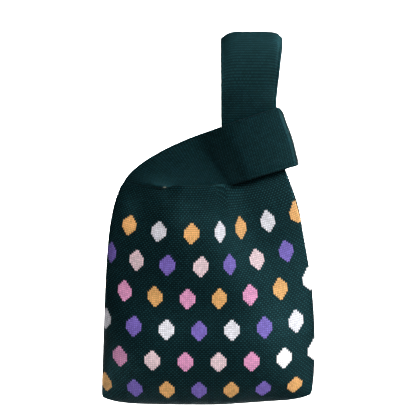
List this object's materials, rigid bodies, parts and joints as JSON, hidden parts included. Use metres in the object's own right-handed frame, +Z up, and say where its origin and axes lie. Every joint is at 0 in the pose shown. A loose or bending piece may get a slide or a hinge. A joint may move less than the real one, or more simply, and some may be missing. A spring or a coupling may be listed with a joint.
{
  "type": "knitted tote bag",
  "caption": "Flat knitted knot bag with a stepped-dot jacquard body, a long wrist handle and a short loop that wraps round the handle to close the mouth.",
  "frame": {"origin": "on the flat underside of the long handle's top, where a hand or a hook carries the bag", "axes": "+Z up along the handle, -Y towards the front panel, +X towards the handle's side of the bag"},
  "size_m": [0.2227, 0.0644, 0.3895],
  "materials": {
    "ground_knit": "matt double-knit jacquard with a stepped-dot pattern",
    "link_yarn": "linked seam in the ground yarn",
    "tack_thread": "pale sewing thread"
  },
  "bodies": {
    "long_handle": {"long_handle_front": "ground_knit", "long_handle_seam": "link_yarn", "long_handle_back": "ground_knit"},
    "bag": {"front_panel": "ground_knit", "back_panel": "ground_knit", "left_side_seam": "link_yarn", "right_side_seam": "link_yarn", "bottom_seam": "link_yarn", "short_loop_front_arm": "ground_knit", "short_loop_back_arm": "ground_knit", "front_left_bar_tack": "tack_thread", "front_right_bar_tack": "tack_thread", "back_left_bar_tack": "tack_thread", "back_right_bar_tack": "tack_thread"},
    "short_loop": {"short_loop_front": "ground_knit", "short_loop_seam": "link_yarn", "short_loop_back": "ground_knit"}
  },
  "joints": [
    {"name": "bag_swing", "type": "hinge", "parent": "long_handle", "child": "bag", "pos_m": [0, 0, -0.10997], "axis": [0, 1, 0], "range_deg": [0, 15]},
    {"name": "loop_slide", "type": "slide", "parent": "bag", "child": "short_loop", "axis": [0, 0, 1], "range_m": [0, 0.025]}
  ]
}
